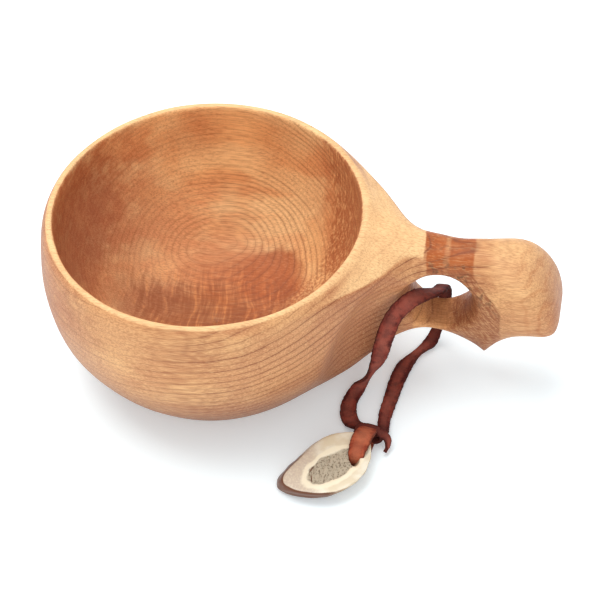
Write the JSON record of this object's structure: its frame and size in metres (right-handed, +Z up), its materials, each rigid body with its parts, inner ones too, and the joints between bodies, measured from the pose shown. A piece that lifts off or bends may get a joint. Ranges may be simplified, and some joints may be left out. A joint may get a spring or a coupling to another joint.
{
  "type": "kuksa wooden cup",
  "caption": "Carved wooden drinking cup with a round bowl, a stub grip with a finger hole, and a leather lace loop that carries a horn slice charm.",
  "frame": {"origin": "centre of the flat foot, on the surface the cup stands on", "axes": "+Z up along the bowl's axis, +X along the grip away from the bowl, +Y to the left of the grip"},
  "size_m": [0.1709, 0.1239, 0.061],
  "materials": {
    "birch": "satin oiled",
    "lace_leather": "matt, rough cut edges",
    "suede": "suede side, matt",
    "antler": "satin, sanded bone"
  },
  "bodies": {
    "cup": {"cup": "birch"},
    "strap": {"lace": "lace_leather", "lace_knot": "lace_leather"},
    "charm": {"charm_loop": "suede", "antler_charm": "antler"}
  },
  "joints": [
    {"name": "strap_swing", "type": "hinge", "parent": "cup", "child": "strap", "pos_m": [0.074, 0.007, 0.025], "axis": [0, 0, 1], "range_deg": [0, 30]},
    {"name": "charm_swing", "type": "hinge", "parent": "strap", "child": "charm", "pos_m": [0.0573, -0.0376, 0.0034], "axis": [-0.9816, 0.1908, 0], "range_deg": [0, 60]}
  ]
}
